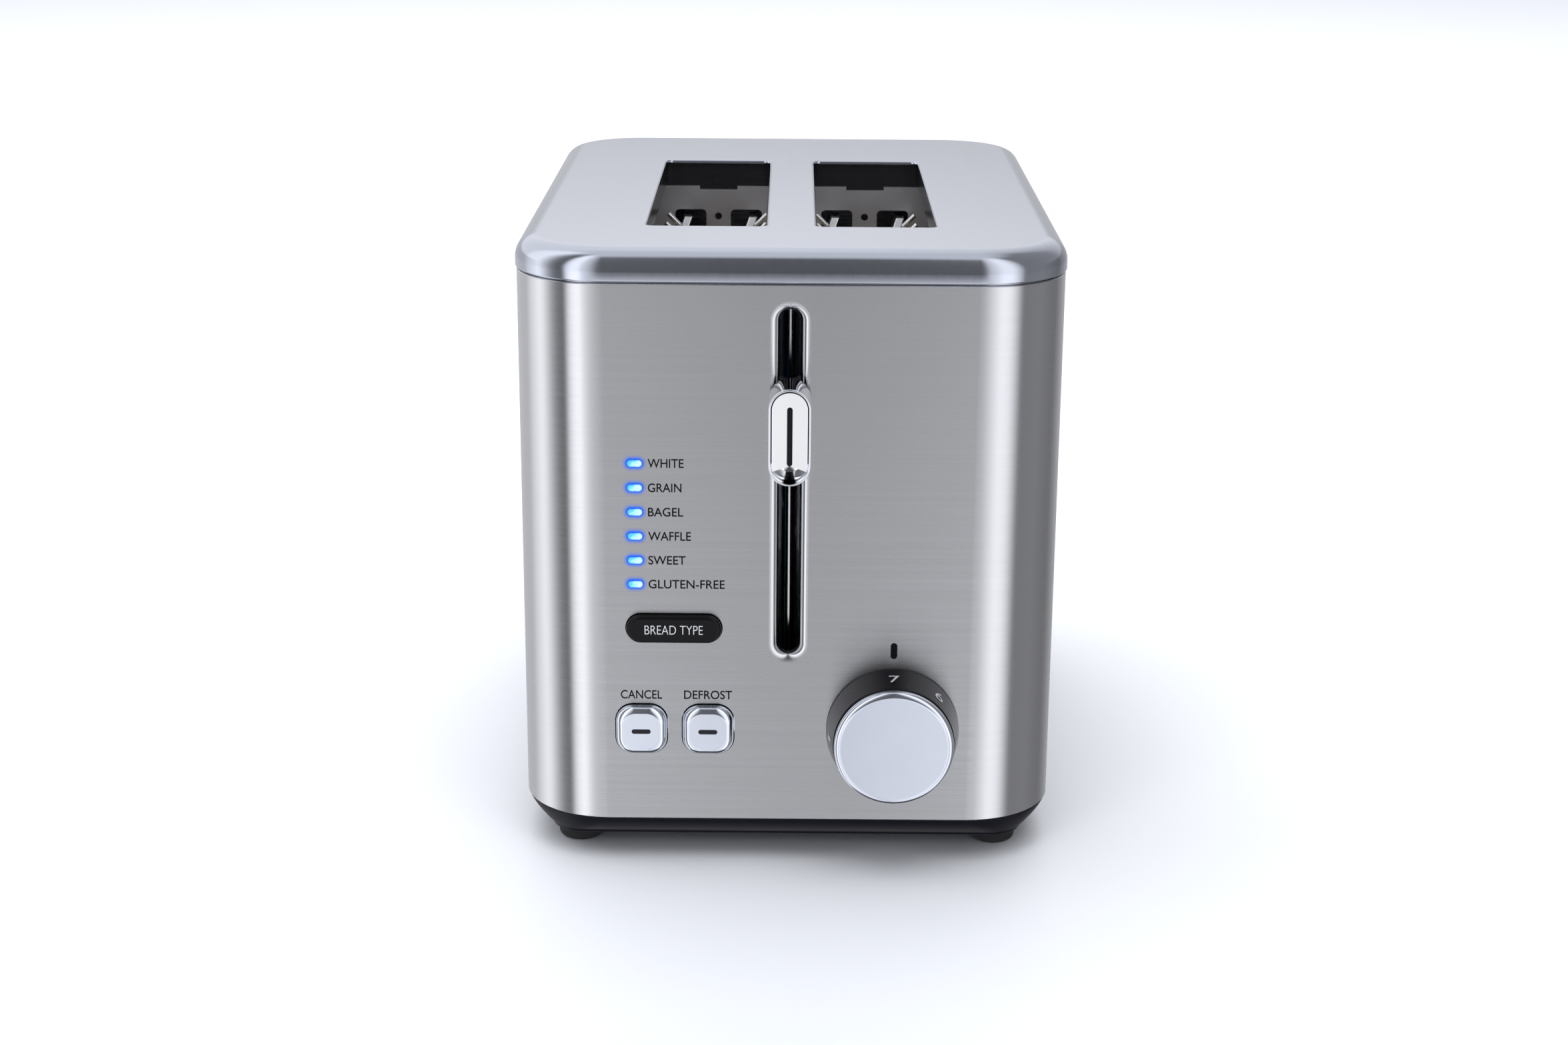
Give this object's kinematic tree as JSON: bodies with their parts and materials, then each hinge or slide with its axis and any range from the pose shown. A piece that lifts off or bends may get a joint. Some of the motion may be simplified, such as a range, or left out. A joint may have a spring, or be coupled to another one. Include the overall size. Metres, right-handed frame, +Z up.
{
  "type": "pop-up toaster",
  "caption": "Pop-up toaster with a steel body, bread slots in a rolled cover, sliding lever, lit bread selector, push buttons, browning knob, closing bread guides and a rear crumb tray.",
  "frame": {"origin": "on the table, under the middle of the overall box, knob and tray handle counted", "axes": "+Z up, the control end faces -Y, +X to the right seen from the controls"},
  "size_m": [0.172, 0.2612, 0.1992],
  "materials": {
    "brushed_steel": "sheet steel brushed along its length, clear satin",
    "cover_steel": "pressed sheet steel, fine satin with a polished rolled edge",
    "chrome": "bright chromed plastic",
    "gloss_black": "glossy moulded plastic",
    "satin_black": "satin moulded plastic",
    "dial_black": "satin moulded plastic with printed numbers",
    "black_enamel": "black heat-resistant enamel on sheet",
    "chassis_steel": "plain aluminised sheet steel",
    "wire_steel": "bright nickel-plated wire",
    "mica": "mica sheet, matt silvery tan",
    "ribbon": "oxidised resistance ribbon",
    "rubber": "moulded rubber",
    "circuit": "lacquered glass-fibre board",
    "lens": "clear light guide lit blue from behind",
    "lamp": "moulded lamp",
    "copper": "enamelled copper winding",
    "component": "moulded electrical housing",
    "spring_steel": "drawn spring wire",
    "screw_steel": "zinc-plated screw"
  },
  "bodies": {
    "housing": {"base": "satin_black", "base_screws": "screw_steel", "board_spacers": "satin_black", "body_shell": "brushed_steel", "browning_control": "component", "button_frame": "satin_black", "chassis_front_plate": "chassis_steel", "chassis_rear_plate": "chassis_steel", "control_board": "circuit", "cord_gland": "satin_black", "feet": "rubber", "guide_rod": "wire_steel", "heater_board_centre": "mica", "heater_board_left": "mica", "heater_board_right": "mica", "heating_ribbon_centre": "ribbon", "heating_ribbon_left": "ribbon", "heating_ribbon_right": "ribbon", "indicator_lamps": "lamp", "indicator_lenses": "lens", "magnet_bracket": "chassis_steel", "magnet_coil": "copper", "magnet_core": "screw_steel", "power_board": "circuit", "push_switches": "satin_black", "reflector_left": "chassis_steel", "reflector_right": "chassis_steel", "relay": "component", "return_spring": "spring_steel", "rod_bracket_bottom": "chassis_steel", "rod_bracket_top": "chassis_steel", "slot_collar_left": "black_enamel", "slot_collar_right": "black_enamel", "terminal_block": "satin_black", "top_cover": "cover_steel", "transformer": "component"},
    "carriage": {"carriage_bracket": "chassis_steel", "carriage_bushes": "satin_black", "armature_plate": "screw_steel", "lever_stem": "black_enamel", "lever_knob": "chrome", "lever_face": "chrome", "lever_inlay": "gloss_black", "bread_rack_left": "wire_steel", "bread_rack_right": "wire_steel"},
    "guide_left_outer": {"bread_guide_left_outer": "wire_steel"},
    "guide_left_inner": {"bread_guide_left_inner": "wire_steel"},
    "guide_right_inner": {"bread_guide_right_inner": "wire_steel"},
    "guide_right_outer": {"bread_guide_right_outer": "wire_steel"},
    "browning_knob": {"browning_dial": "dial_black", "browning_dial_cap": "chrome", "browning_shaft": "screw_steel"},
    "cancel": {"cancel_button": "chrome", "cancel_window": "gloss_black"},
    "defrost": {"defrost_button": "chrome", "defrost_window": "gloss_black"},
    "bread_type": {"bread_type_button": "gloss_black"},
    "crumb_drawer": {"crumb_tray": "chassis_steel", "crumb_tray_handle": "satin_black"}
  },
  "joints": [
    {"name": "lever_slide", "type": "slide", "parent": "housing", "child": "carriage", "axis": [0, 0, -1], "range_m": [-0.02, 0.062], "stiffness_N_per_m": 140, "springref_m": -0.00682, "deforming": ["return_spring"]},
    {"name": "guide_left_outer_lean", "type": "hinge", "parent": "housing", "child": "guide_left_outer", "pos_m": [-0.03993, 0.005, 0.044], "axis": [0, 1, 0], "range_deg": [-0.8, 2.3]},
    {"name": "guide_left_inner_lean", "type": "hinge", "parent": "housing", "child": "guide_left_inner", "pos_m": [-0.01393, 0.005, 0.044], "axis": [0, -1, 0], "range_deg": [-0.8, 2.3]},
    {"name": "guide_right_inner_lean", "type": "hinge", "parent": "housing", "child": "guide_right_inner", "pos_m": [0.01393, 0.005, 0.044], "axis": [0, 1, 0], "range_deg": [-0.8, 2.3]},
    {"name": "guide_right_outer_lean", "type": "hinge", "parent": "housing", "child": "guide_right_outer", "pos_m": [0.03993, 0.005, 0.044], "axis": [0, -1, 0], "range_deg": [-0.8, 2.3]},
    {"name": "browning_turn", "type": "hinge", "parent": "housing", "child": "browning_knob", "pos_m": [0.0333, -0.1146, 0.0452], "axis": [0, -1, 0], "range_deg": [0, 270]},
    {"name": "cancel_press", "type": "slide", "parent": "housing", "child": "cancel", "axis": [0, 1, 0], "range_m": [0, 0.0015], "stiffness_N_per_m": 400, "springref_m": -0.001},
    {"name": "defrost_press", "type": "slide", "parent": "housing", "child": "defrost", "axis": [0, 1, 0], "range_m": [0, 0.0015], "stiffness_N_per_m": 400, "springref_m": -0.001},
    {"name": "bread_type_press", "type": "slide", "parent": "housing", "child": "bread_type", "axis": [0, 1, 0], "range_m": [0, 0.0015], "stiffness_N_per_m": 400, "springref_m": -0.001},
    {"name": "crumb_drawer_slide", "type": "slide", "parent": "housing", "child": "crumb_drawer", "axis": [0, 1, 0], "range_m": [0, 0.17]}
  ],
  "couplings": [
    {"joint": "guide_left_outer_lean", "follows": "lever_slide", "rad_per_m": 0.56301},
    {"joint": "guide_left_inner_lean", "follows": "lever_slide", "rad_per_m": 0.56301},
    {"joint": "guide_right_inner_lean", "follows": "lever_slide", "rad_per_m": 0.56301},
    {"joint": "guide_right_outer_lean", "follows": "lever_slide", "rad_per_m": 0.56301}
  ]
}
